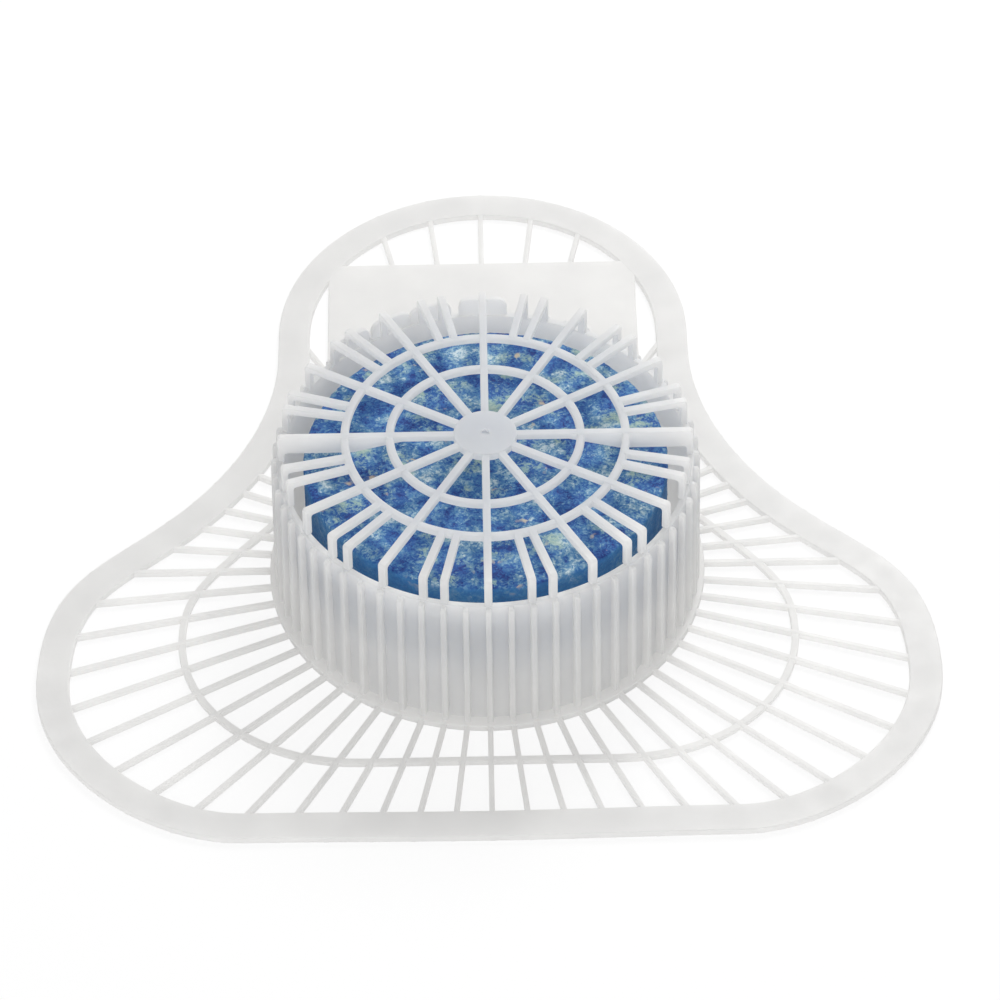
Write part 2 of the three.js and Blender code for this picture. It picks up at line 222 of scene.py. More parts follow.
class Patterns(PropertyGroup):
    """Sizes of the patterns in the plastic and in the block."""

    cloud: length("Clouds", "Size of the plastic's clouds", 0.012)
    gloss: length("Gloss", "Size of the plastic's glossier spots", 0.004)
    swell: length("Swell", "Size of the plastic's soft unevenness", 0.006)
    mould_grain: length("Moulded grain", "Size of the plastic's fine grain", 0.0007)
    mould_depth: length("Moulded depth", "Depth of the plastic's grain and unevenness", 0.00012)
    patch: length("Patches", "Size of the block's dark and pale patches", 0.0068)
    clot: length("Clots", "Size of the clots of flakes in a patch", 0.0026)
    dust: length("Dust", "Size of the finest flakes", 0.0005)
    sliver: share("Slivers", "Size of the small flakes, as a share of a flake", 0.36)
    wander: length("Wandering", "Size of the bends in the flakes' edges", 0.002)
    wander_reach: length("Wandering reach", "How far the flakes' edges bend", 0.0012)
    green: length("Greenish patches", "Size of the greenish patches", 0.006)
    straw: length("Straw patches", "Size of the straw-coloured patches", 0.0045)
    flake_depth: length("Flake depth", "Depth of the gaps between the flakes", 0.0003)
    floor: length("Floor", "Size of the floor's faint clouds", 0.05)


class StageSettings(PropertyGroup):
    """Camera, floor and lamps."""

    focal: FloatProperty(name="Focal length", description="Millimetres on a 36 mm sensor", default=176.4)
    distance: length("Distance", "From the camera to the point that it looks at", 1.0424)
    elevation: FloatProperty(name="Elevation", description="Degrees above the floor", default=45.548)
    azimuth: FloatProperty(name="Azimuth", description="Degrees round from the front", default=-0.371)
    roll: FloatProperty(name="Roll", description="Degrees that the picture is turned", default=0.781)
    target_x: length("Target X", "Where the camera looks", 0.00298)
    floor: tint("Floor", "Colour of the floor", (0.96, 0.96, 0.96))
    ambient: FloatProperty(name="Ambient", description="Strength of the even light", default=0.66)
    key: FloatProperty(name="Key", description="Power of the lamp behind", default=2.0, unit="POWER")
    key_place: spot("Key place", "Behind the object on the right", (0.16, 0.38, 0.44))
    key_size: length("Key size", "Side of the lamp behind", 0.22)
    fill: FloatProperty(name="Fill", description="Power of the lamp in front", default=3.2, unit="POWER")
    fill_place: spot("Fill place", "In front of the object", (-0.1, -0.9, 0.4))
    fill_size: length("Fill size", "Side of the lamp in front", 0.9)
    floor_size: length("Floor size", "Side of the floor", 8)
    white: share("White share", "Share of plain white where the floor is seen", 0.83)


# Modelling helpers


def deselect():
    """Leaves object mode with nothing selected."""
    if bpy.context.object and bpy.context.object.mode != "OBJECT":
        bpy.ops.object.mode_set(mode="OBJECT")
    bpy.ops.object.select_all(action="DESELECT")


def activate(piece):
    """Makes a piece the only selected one and the active one."""
    deselect()
    piece.select_set(True)
    bpy.context.view_layer.objects.active = piece


@contextmanager
def editing(piece):
    """Edit mode with everything selected."""
    activate(piece)
    bpy.ops.object.mode_set(mode="EDIT")
    bpy.ops.mesh.select_all(action="SELECT")
    yield
    bpy.ops.object.mode_set(mode="OBJECT")


def named(name):
    """Names the newest object, with its place in its mesh."""
    piece = bpy.context.object
    piece.name = piece.data.name = name
    activate(piece)
    bpy.ops.object.transform_apply(location=True, rotation=True, scale=True)
    return piece


def select_faces(piece, test):
    """Selects the faces that pass a test, in edit mode."""
    mesh = bmesh.from_edit_mesh(piece.data)
    mesh.select_mode = {"FACE"}
    bpy.context.tool_settings.mesh_select_mode = (False, False, True)
    for face in mesh.faces:
        face.select_set(test(face))
    mesh.select_flush_mode()
    bmesh.update_edit_mesh(piece.data)


def add_modifier(piece, kind, **settings):
    """Adds a modifier and applies it."""
    activate(piece)
    bpy.ops.object.modifier_add(type=kind)
    modifier = piece.modifiers[-1]
    for key, value in settings.items():
        setattr(modifier, key, value)
    bpy.ops.object.modifier_apply(modifier=modifier.name)


def soften(piece, width, segments=2, angle=50):
    """Rounds the sharp edges."""
    limit = math.radians(angle)
    add_modifier(piece, "BEVEL", width=width, segments=segments, limit_method="ANGLE", angle_limit=limit)


def boolean(piece, other, operation):
    """Cuts or joins with another object, which is then removed."""
    add_modifier(piece, "BOOLEAN", object=other, operation=operation, solver="MANIFOLD")
    bpy.data.objects.remove(other)


def traced(name, outline, width):
    """A solid from an outline of (radius, height) points, drawn point by point in front of the drum."""
    bpy.ops.mesh.primitive_plane_add(size=width)
    piece = named(name)
    corners = [Vector((0, -radius, height)) for radius, height in outline]
    with editing(piece):
        bpy.ops.mesh.merge(type="CENTER")
        bpy.ops.transform.translate(value=corners[0] + Vector((-width / 2, 0, 0)))
        for start, end in zip(corners, corners[1:] + corners[:1]):
            bpy.ops.mesh.extrude_region_move(TRANSFORM_OT_translate={"value": end - start})
        bpy.ops.mesh.select_all(action="SELECT")
        bpy.ops.mesh.remove_doubles(threshold=SMALLEST)
        bpy.ops.mesh.edge_face_add()
        bpy.ops.mesh.extrude_region_move(TRANSFORM_OT_translate={"value": (width, 0, 0)})
        bpy.ops.mesh.select_all(action="SELECT")
        bpy.ops.mesh.normals_make_consistent(inside=False)
    return piece


def rounded(corner, before, after, steps=4):
    """Points of an arc-like round between two points either side of a corner."""
    points = []
    for i in range(steps + 1):
        t = i / steps
        first, second, third = (1 - t) ** 2, 2 * t * (1 - t), t * t
        point = [first * a + second * b + third * c for a, b, c in zip(before, corner, after)]
        points.append(tuple(point))
    return points


def placed_round(piece, name, angles):
    """One object of a piece's copies, turned about the drum's axis to angles from the front."""
    copies = []
    for degrees in angles:
        copy = piece.copy()
        copy.data = piece.data.copy()
        turn = Matrix.Rotation(math.radians(degrees), 4, "Z")
        copy.data.transform(Matrix.Translation(DRUM) @ turn)
        bpy.context.collection.objects.link(copy)
        copies.append(copy)
    bpy.data.objects.remove(piece)
    deselect()
    for copy in copies:
        copy.select_set(True)
    bpy.context.view_layer.objects.active = copies[0]
    bpy.ops.object.join()
    return named(name)


def hoop(name, radius, width, low, high, sides=DRUM_SIDES):
    """A round band with a rectangular section, standing on the drum's axis."""
    bpy.ops.mesh.primitive_cylinder_add(
        vertices=sides,
        radius=radius + width / 2,
        depth=high - low,
        end_fill_type="NOTHING",
        location=(DRUM.x, DRUM.y, (low + high) / 2),
    )
    piece = named(name)
    add_modifier(piece, "SOLIDIFY", thickness=width, offset=-1, use_even_offset=True)
    return piece


def curve_object(name, knots, closed):
    """A mesh line along bezier knots of (place, handle before, handle after) round the drum's axis."""
    bpy.ops.curve.primitive_bezier_curve_add(location=DRUM)
    curve = bpy.context.object
    curve.data.dimensions = "3D"
    curve.data.resolution_u = 20
    spline = curve.data.splines[0]
    spline.bezier_points.add(len(knots) - len(spline.bezier_points))
    spline.use_cyclic_u = closed
    for point, (place, before, after) in zip(spline.bezier_points, knots):
        point.handle_left_type = point.handle_right_type = "FREE"
        point.co = (*place, 0)
        point.handle_left = (*before, 0)
        point.handle_right = (*after, 0)
    activate(curve)
    bpy.ops.object.convert(target="MESH")
    piece = named(name)
    with editing(piece):
        bpy.ops.mesh.remove_doubles(threshold=SMALLEST)
    return piece


def mirrored(knots):
    """The same knots on the other side of the middle line, in the opposite order."""
    return [((-p[0], p[1]), (-b[0], b[1]), (-a[0], a[1])) for p, a, b in reversed(knots)]


def flange_outline(name, inset):
    """The flange's outline as a flat face, drawn in by a distance."""
    sizes = bpy.context.scene.flange_sizes
    front_y = -sizes.front + sizes.front_bow
    round_y = sizes.back - sizes.back_radius
    neck_y = round_y - sizes.back_straight
    arc = ARC_HANDLE * sizes.back_radius
    third = sizes.front_flat / 3
    waist = (sizes.waist_x, sizes.waist_y)
    half = [
        ((0, -sizes.front), (-third, -sizes.front), (third, -sizes.front)),
        (
            (sizes.front_flat, front_y),
            (2 * third, front_y),
            (sizes.front_flat + sizes.front_pull, front_y),
        ),
        (
            (sizes.side, sizes.side_y),
            (sizes.side, sizes.side_y - sizes.side_front_pull),
            (sizes.side, sizes.side_y + sizes.side_back_pull),
        ),
        (
            waist,
            (waist[0] + sizes.waist_front_pull, waist[1] - sizes.waist_front_pull),
            (waist[0] - sizes.waist_back_pull, waist[1] + sizes.waist_back_pull),
        ),
        (
            (sizes.back_radius, neck_y),
            (sizes.back_radius, neck_y - sizes.neck_pull),
            (sizes.back_radius, neck_y + sizes.back_straight / 3),
        ),
        (
            (sizes.back_radius, round_y),
            (sizes.back_radius, round_y - sizes.back_straight / 3),
            (sizes.back_radius, round_y + arc),
        ),
        ((0, sizes.back), (arc, sizes.back), (-arc, sizes.back)),
    ]
    piece = curve_object(name, half + mirrored(half[1:-1]), closed=True)
    with editing(piece):
        bpy.ops.mesh.edge_face_add()
        bpy.ops.mesh.normals_make_consistent(inside=False)
        if inset:
            bpy.ops.mesh.inset(thickness=inset, use_even_offset=True)
            bpy.ops.mesh.select_all(action="INVERT")
            bpy.ops.mesh.delete(type="FACE")
    return piece


def thicken(piece, low, high):
    """Raises flat faces at z = 0 into a solid between two heights."""
    with editing(piece):
        bpy.ops.transform.translate(value=(0, 0, low))
        bpy.ops.mesh.extrude_region_move(TRANSFORM_OT_translate={"value": (0, 0, high - low)})
        bpy.ops.mesh.select_all(action="SELECT")
        bpy.ops.mesh.normals_make_consistent(inside=False)


def for_moulding(piece):
    """Notes a solid that is joined into the moulding later."""
    MOULDED.append(piece.name)


def whole_turn(step, first=0):
    """Degrees from the first one up to a whole turn."""
    return range(first, 360, step)


# Flange


class DEODORIZER_OT_rim(Operator):
    """Models the flat rim of the flange"""

    bl_idname = "deodorizer.rim"
    bl_label = "Flange rim"

    def execute(self, context):
        sizes = context.scene.flange_sizes
        piece = flange_outline("rim", 0)
        with editing(piece):
            bpy.ops.mesh.inset(thickness=sizes.rim_width, use_even_offset=True)
            bpy.ops.mesh.delete(type="FACE")
        thicken(piece, 0, sizes.thickness)
        soften(piece, context.scene.soft_edges.edge, segments=3)
        for_moulding(piece)
        return {"FINISHED"}


class DEODORIZER_OT_ribs(Operator):
    """Models the ribs that run from the drum's foot to the rim"""

    bl_idname = "deodorizer.ribs"
    bl_label = "Flange ribs"

    def execute(self, context):
        sizes = context.scene.flange_sizes
        drum = context.scene.drum_sizes
        start = drum.wall_inner + drum.wall
        reach = sizes.back + sizes.side
        low = sizes.rib_step
        high = sizes.thickness - sizes.rib_step
        bpy.ops.mesh.primitive_cube_add(size=1, location=(0, -(start + reach) / 2, (low + high) / 2))
        context.object.scale = (sizes.rib_width, reach - start, high - low)
        bar = named("rib")
        soften(bar, context.scene.soft_edges.fine_edge)
        side = range(-sizes.last_side_rib, sizes.last_side_rib + 1, sizes.rib_pitch)
        back = range(sizes.first_back_rib, 361 - sizes.first_back_rib, sizes.rib_pitch)
        piece = placed_round(bar, "ribs", [*side, *back])
        field = flange_outline("rib field", sizes.rim_width / 2)
        thicken(field, -sizes.thickness, 2 * sizes.thickness)
        boolean(piece, field, "INTERSECT")
        for_moulding(piece)
        return {"FINISHED"}


class DEODORIZER_OT_middle_ring(Operator):
    """Models the ring half way out along the ribs"""

    bl_idname = "deodorizer.middle_ring"
    bl_label = "Middle ring"

    def execute(self, context):
        sizes = context.scene.flange_sizes
        drum = context.scene.drum_sizes
        soft = context.scene.soft_edges
        foot = drum.wall_inner + drum.wall + drum.foot - soft.lap
        end = (math.sqrt(foot**2 - sizes.ring_end_y**2), sizes.ring_end_y)
        third = sizes.ring_flat / 3
        flat = (sizes.ring_flat, -sizes.ring_front)
        side = (sizes.ring_side, sizes.ring_side_y)
        half = [
            ((0, -sizes.ring_front), (-third, -sizes.ring_front), (third, -sizes.ring_front)),
            (flat, (flat[0] - third, flat[1]), (flat[0] + sizes.ring_corner_pull, flat[1])),
            (side, (side[0], side[1] - sizes.ring_front_pull), (side[0], side[1] + sizes.ring_back_pull)),
            (end, (sizes.ring_turn_x, sizes.ring_turn_y), end),
        ]
        piece = curve_object("middle ring", mirrored(half[1:]) + half, closed=False)
        low = sizes.ring_step
        high = sizes.thickness - sizes.ring_step
        with editing(piece):
            bpy.ops.transform.translate(value=(0, 0, low))
            bpy.ops.mesh.extrude_region_move(TRANSFORM_OT_translate={"value": (0, 0, high - low)})
        add_modifier(piece, "SOLIDIFY", thickness=sizes.ring_width, offset=0, use_even_offset=True)
        with editing(piece):
            bpy.ops.mesh.normals_make_consistent(inside=False)
        soften(piece, soft.fine_edge)
        for_moulding(piece)
        return {"FINISHED"}


class DEODORIZER_OT_plate(Operator):
    """Models the flat plate between the drum and the back rim"""

    bl_idname = "deodorizer.plate"
    bl_label = "Plate"

    def execute(self, context):
        sizes = context.scene.flange_sizes
        drum = context.scene.drum_sizes
        half = sizes.back_radius - sizes.rim_width - sizes.plate_slit
        middle = drum.wall_inner + drum.wall / 2
        front = math.sqrt((middle + context.scene.soft_edges.lap) ** 2 - half**2)
        back = sizes.back - sizes.plate_end
        bpy.ops.mesh.primitive_plane_add(size=1, location=DRUM + Vector((0, (front + back) / 2, 0)))
        context.object.scale = (2 * half, back - front, 1)
        piece = named("plate")
        thicken(piece, sizes.plate_step, sizes.thickness - sizes.plate_step)
        soften(piece, context.scene.soft_edges.edge, segments=3)
        depth = 10 * sizes.thickness
        bpy.ops.mesh.primitive_cylinder_add(vertices=DRUM_SIDES, radius=middle, depth=depth, location=DRUM)
        boolean(piece, named("plate cut"), "DIFFERENCE")
        for_moulding(piece)
        return {"FINISHED"}


# Drum


class DEODORIZER_OT_wall(Operator):
    """Models the drum's round wall and the ledge round its foot"""

    bl_idname = "deodorizer.wall"
    bl_label = "Drum wall"

    def execute(self, context):
        drum = context.scene.drum_sizes
        flange = context.scene.flange_sizes
        soft = context.scene.soft_edges
        middle = drum.wall_inner + drum.wall / 2
        wall = hoop("wall", middle, drum.wall, 0, drum.top)
        soften(wall, soft.edge, segments=3)
        for_moulding(wall)
        inner = middle - soft.lap
        outer = drum.wall_inner + drum.wall + drum.foot
        foot = hoop("foot", (inner + outer) / 2, outer - inner, flange.plate_step, flange.thickness)
        soften(foot, soft.edge, segments=3)
        for_moulding(foot)
        return {"FINISHED"}


class DEODORIZER_OT_fins(Operator):
    """Models the upright fins outside the wall, one for each flange rib"""

    bl_idname = "deodorizer.fins"
    bl_label = "Fins"

    def execute(self, context):
        drum = context.scene.drum_sizes
        flange = context.scene.flange_sizes
        inside = drum.wall_inner + drum.wall / 2
        out = drum.wall_inner + drum.wall + drum.fin_depth
        low = flange.thickness / 2
        high = drum.top - drum.fin_drop
        top = rounded((out, high), (out, high - drum.fin_round), (out - drum.fin_round, high))
        outline = [(inside, low), (out + drum.fin_draft, low), *top, (inside, high)]
        fin = traced("fin", outline, drum.fin_width)
        soften(fin, context.scene.soft_edges.edge, segments=3, angle=60)
        for_moulding(placed_round(fin, "fins", whole_turn(flange.rib_pitch)))
        return {"FINISHED"}


class DEODORIZER_OT_tabs(Operator):
    """Models the low tabs on the wall's edge, at the back and to the left of it"""

    bl_idname = "deodorizer.tabs"
    bl_label = "Tabs"

    left_angles = (15.2, 27.4, 40.5)  # degrees from the back

    def tab(self, context, name, width, height, angles):
        drum = context.scene.drum_sizes
        low = drum.top - context.scene.cage_sizes.leg_root
        high = drum.top + height
        outer = drum.wall_inner + drum.wall
        half = width / 2
        r = drum.tab_round
        right = rounded((half, high), (half, high - r), (half - r, high), steps=6)
        left = rounded((-half, high), (r - half, high), (-half, high - r), steps=6)
        piece = traced(name, [(-half, low), (half, low), *right, *left], drum.tab_thickness)
        # The outline was drawn along the radius, so it is turned to stand across it.
        piece.data.transform(Matrix.Rotation(math.pi / 2, 4, "Z"))
        piece.data.transform(Matrix.Translation((0, drum.tab_thickness / 2 - outer, 0)))
        soften(piece, context.scene.soft_edges.edge, segments=3)
        for_moulding(placed_round(piece, name, [180 + angle for angle in angles]))

    def execute(self, context):
        drum = context.scene.drum_sizes
        self.tab(context, "back tab", drum.back_tab_width, drum.back_tab_height, [0])
        self.tab(context, "left tabs", drum.left_tab_width, drum.left_tab_height, self.left_angles)
        return {"FINISHED"}


class DEODORIZER_OT_lugs(Operator):
    """Models the lugs on the inside of the wall, under the block"""

    bl_idname = "deodorizer.lugs"
    bl_label = "Lugs"

    def execute(self, context):
        drum = context.scene.drum_sizes
        top = BLOCK_LOW.z - drum.seat_gap
        tip = (BLOCK_HIGH.x - BLOCK_LOW.x) / 2 - drum.lug_overlap
        root = drum.wall_inner + drum.wall / 2
        outline = [(root, top), (tip, top), (tip, top - drum.lug_tip), (root, top - drum.lug_height)]
        lug = traced("lug", outline, drum.lug_width)
        soften(lug, context.scene.soft_edges.fine_edge)
        for_moulding(placed_round(lug, "lugs", whole_turn(360 // drum.lugs)))
        return {"FINISHED"}


# Cage


class DEODORIZER_OT_spokes(Operator):
    """Models the spokes of the cage with the legs that they turn down into"""

    bl_idname = "deodorizer.spokes"
    bl_label = "Spokes"

    webbed = (90, 270)  # degrees from the front to the two spokes with a deep web

    def spoke(self, context, name, start, angles, webbed=False):
        """Spokes from an inner radius, each with its leg on the wall."""
        cage = context.scene.cage_sizes
        drum = context.scene.drum_sizes
        reach = drum.wall_inner + drum.wall - cage.inset
        inside = reach - cage.leg
        shallow = cage.top - cage.depth
        underside = cage.top - cage.web_depth if webbed else shallow
        fillet = cage.leg_fillet
        web = [(cage.web_start, shallow), (cage.web_full, underside)] if webbed else []
        outline = [
            (start, cage.top),
            (start, shallow),
            *web,
            *rounded((inside, underside), (inside - fillet, underside), (inside, underside - fillet)),
            (inside, drum.top),
            (drum.wall_inner + drum.wall / 2, drum.top - cage.leg_root),
            (reach, drum.top - cage.leg_root),
            *rounded((reach, cage.top), (reach, cage.top - cage.elbow), (reach - cage.elbow, cage.top)),
        ]
        piece = traced(name, outline, cage.spoke_width)
        soften(piece, context.scene.soft_edges.cage_edge, segments=3, angle=60)
        for_moulding(placed_round(piece, name, angles))

    def execute(self, context):
        cage = context.scene.cage_sizes
        step = 360 // cage.long_spokes
        start = cage.hub_radius - context.scene.soft_edges.lap
        plain = [degrees for degrees in whole_turn(step) if degrees not in self.webbed]
        self.spoke(context, "long spokes", start, plain)
        self.spoke(context, "webbed spokes", start, self.webbed, webbed=True)
        short = [*whole_turn(step, cage.short_first), *whole_turn(step, cage.short_second)]
        self.spoke(context, "short spokes", cage.outer_ring, short)
        return {"FINISHED"}


class DEODORIZER_OT_cage_rings(Operator):
    """Models the two rings of the cage"""

    bl_idname = "deodorizer.cage_rings"
    bl_label = "Cage rings"

    def execute(self, context):
        cage = context.scene.cage_sizes
        top = cage.top - cage.ring_step
        for name, radius in (("inner ring", cage.inner_ring), ("outer ring", cage.outer_ring)):
            piece = hoop(name, radius, cage.ring_width, top - cage.ring_depth, top, RING_SIDES)
            soften(piece, context.scene.soft_edges.cage_edge, segments=3)
            for_moulding(piece)
        return {"FINISHED"}


class DEODORIZER_OT_hub(Operator):
    """Models the round hub with the small mark left by moulding"""

    bl_idname = "deodorizer.hub"
    bl_label = "Hub"

    upward = 0.99  # the height of a normal that points up

    def execute(self, context):
        cage = context.scene.cage_sizes
        top = cage.top + cage.hub_step
        middle = (DRUM.x, DRUM.y, top - cage.hub_thickness / 2)
        bpy.ops.mesh.primitive_cylinder_add(
            vertices=HUB_SIDES, radius=cage.hub_radius, depth=cage.hub_thickness, location=middle
        )
        piece = named("hub")
        soften(piece, context.scene.soft_edges.edge, segments=3)
        with editing(piece):
            least = cage.hub_radius**2
            select_faces(piece, lambda face: face.normal.z > self.upward and face.calc_area() > least)
            flat = cage.hub_radius - context.scene.soft_edges.edge
            bpy.ops.mesh.inset(thickness=flat - cage.gate_radius)
            bpy.ops.mesh.extrude_region_move(TRANSFORM_OT_translate={"value": (0, 0, -cage.gate_depth)})
            bpy.ops.mesh.inset(thickness=cage.gate_radius / 3)
        for_moulding(piece)
        return {"FINISHED"}


class DEODORIZER_OT_join(Operator):
    """Joins the rim, ribs, drum and cage into the one moulded piece that they are"""

    bl_idname = "deodorizer.join"
    bl_label = "Join the moulding"

    def execute(self, context):
        pieces = [bpy.data.objects[name] for name in MOULDED]
        group = bpy.data.collections.new("moulding parts")
        context.scene.collection.children.link(group)
        body, others = pieces[0], pieces[1:]
        for other in others:
            for home in list(other.users_collection):
                home.objects.unlink(other)
            group.objects.link(other)
        settings = {"operand_type": "COLLECTION", "collection": group}
        add_modifier(body, "BOOLEAN", operation="UNION", solver="MANIFOLD", **settings)
        for other in others:
            bpy.data.objects.remove(other)
        bpy.data.collections.remove(group)
        MOULDED.clear()
        with editing(body):
            bpy.ops.mesh.remove_doubles(threshold=SMALLEST)
            bpy.ops.mesh.dissolve_degenerate(threshold=SMALLEST)
        body.name = body.data.name = "screen_moulding"
        activate(body)
        bpy.ops.object.shade_smooth_by_angle(angle=math.radians(35))
        add_modifier(body, "WEIGHTED_NORMAL", keep_sharp=True)
        body.data.materials.clear()
        body.data.materials.append(milky_plastic(context.scene.finishes, context.scene.patterns))
        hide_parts("screen")
        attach(body, "root")
        return {"FINISHED"}


# Block


class DEODORIZER_OT_block(Operator):
    """Models the pressed deodorizer block"""

    bl_idname = "deodorizer.block"
    bl_label = "Deodorizer block"

    def execute(self, context):
        soft = context.scene.soft_edges
        middle = (BLOCK_LOW + BLOCK_HIGH) / 2
        radius = (BLOCK_HIGH.x - BLOCK_LOW.x) / 2
        depth = BLOCK_HIGH.z - BLOCK_LOW.z
        bpy.ops.mesh.primitive_cylinder_add(
            vertices=BLOCK_SIDES, radius=radius, depth=depth, location=middle
        )
        piece = named("pressed_block")
        soften(piece, soft.block_edge, segments=4)
        add_modifier(piece, "REMESH", mode="VOXEL", voxel_size=soft.block_mesh)
        dents, flakes = ("dents", 5 * soft.flake, 3, 1.0), ("flakes", soft.flake, 2, 0.8)
        for name, size, detail, part in (dents, flakes):
            texture = bpy.data.textures.new(name, type="CLOUDS")
            texture.noise_scale = size
            texture.noise_depth = detail
            depth = part * soft.roughness
            add_modifier(piece, "DISPLACE", texture=texture, strength=depth, mid_level=1.0)
        activate(piece)
        bpy.ops.object.shade_smooth()
        piece.data.materials.clear()
        piece.data.materials.append(pressed_flakes(context.scene.finishes, context.scene.patterns, soft))
        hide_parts("deodorizer_block")
        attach(piece, "root")
        return {"FINISHED"}


# Materials


class Shading:
    """The nodes of a new material, or of another tree."""

    def __init__(self, name, tree=None):
        if tree is None:
            self.material = bpy.data.materials.new(name)
            self.material.use_nodes = True
            tree = self.material.node_tree
        self.tree = tree
        self.tree.nodes.clear()

    def node(self, kind, settings=None, **sockets):
        """Adds a node. A socket's value is a number, a colour or another node's output."""
        node = self.tree.nodes.new(kind)
        for key, value in (settings or {}).items():
            setattr(node, key, value)
        for key, value in sockets.items():
            numbered = key[:1] == "i" and key[1:].isdigit()
            socket = node.inputs[int(key[1:]) if numbered else key.replace("_", " ")]
            if isinstance(value, bpy.types.NodeSocket):
                self.tree.links.new(value, socket)
            else:
                socket.default_value = (*value, 1) if socket.type == "RGBA" else value
        return node

    def place(self):
        """The place on the object's own axes."""
        return self.node("ShaderNodeTexCoord").outputs["Object"]

    def noise(self, place, size, detail=3, roughness=0.5):
        """Soft noise whose blotches are about as large as size, in metres."""
        node = self.node(
            "ShaderNodeTexNoise", Vector=place, Scale=1 / size, Detail=detail, Roughness=roughness
        )
        return node.outputs

    def cells(self, place, size):
        """Irregular cells about as large as size, in metres."""
        return self.node("ShaderNodeTexVoronoi", Vector=place, Scale=1 / size).outputs

    def split(self, colour):
        """A colour's three parts."""
        return self.node("ShaderNodeSeparateColor", Color=colour).outputs

    def ramp(self, value, *stops):
        """Colours at places from 0 to 1."""
        node = self.node("ShaderNodeValToRGB", Fac=value)
        elements = node.color_ramp.elements
        while len(elements) < len(stops):
            elements.new(0.5)
        for element, (position, colour) in zip(elements, stops):
            element.position = position
            element.color = (*colour, 1)
        return node.outputs["Color"]

    def remap(self, value, low, high, to_low=0, to_high=1):
        """Spreads the range from low to high over another range and cuts it off there."""
        node = self.node("ShaderNodeMapRange", i0=value, i1=low, i2=high, i3=to_low, i4=to_high)
        return node.outputs["Result"]

    def moved(self, place, distance):
        return self.node("ShaderNodeVectorMath", {"operation": "ADD"}, i0=place, i1=distance).outputs[0]

    def facing(self):
        """The direction in which the surface faces, on the object's own axes."""
        return self.node("ShaderNodeTexCoord").outputs["Normal"]

    def total(self, *shares):
        """The sum of values, each times its share."""
        result = 0.0
        for value, part in shares:
            result = self.math("MULTIPLY_ADD", value, part, result)
        return result

    def math(self, operation, first, second=0.0, third=0.0):
        node = self.node("ShaderNodeMath", {"operation": operation}, i0=first, i1=second, i2=third)
        return node.outputs[0]

    def mix(self, amount, first, second):
        """Two colours mixed."""
        return self.node("ShaderNodeMix", {"data_type": "RGBA"}, i0=amount, i6=first, i7=second).outputs[2]

    def blend(self, amount, first, second):
        """Two shaders mixed."""
        return self.node("ShaderNodeMixShader", i0=amount, i1=first, i2=second).outputs[0]

    def bump(self, height, strength, depth):
        """Normals of a surface with this height."""
        return self.node("ShaderNodeBump", Height=height, Strength=strength, Distance=depth).outputs[0]

    def seen(self):
        """1 for rays from the camera and for gloss and clear plastic, 0 for all other light."""
        ray = self.node("ShaderNodeLightPath").outputs
        either = self.math("MAXIMUM", ray["Is Camera Ray"], ray["Is Glossy Ray"])
        return self.math("MAXIMUM", either, ray["Is Transmission Ray"])

    def output(self, shader):
        self.node("ShaderNodeOutputMaterial", Surface=shader)
        return self.material


def milky_plastic(finishes, sizes):
    """Flexible milky plastic with faint clouds and a fine moulded grain."""
    shading = Shading("milky moulded plastic")
    place = shading.place()
    clouds = shading.noise(place, sizes.cloud, detail=4, roughness=0.55)["Fac"]
    colour = shading.ramp(clouds, (0.35, finishes.plastic), (0.65, finishes.plastic_cloud))
    grain = shading.noise(place, sizes.mould_grain, detail=2)["Fac"]
    swell = shading.noise(place, sizes.swell, detail=2)["Fac"]
    normal = shading.bump(shading.total((swell, 1), (grain, 0.25)), 0.35, sizes.mould_depth)
    gloss = shading.noise(place, sizes.gloss)["Fac"]
    solid = shading.node(
        "ShaderNodeBsdfPrincipled",
        Base_Color=colour,
        Roughness=shading.remap(gloss, 0.3, 0.7, 0.36, 0.48),
        IOR=1.5,
        Normal=normal,
    )
    glow = shading.node("ShaderNodeBsdfTranslucent", Color=colour, Normal=normal)
    return shading.output(shading.blend(finishes.glow, solid.outputs[0], glow.outputs[0]))


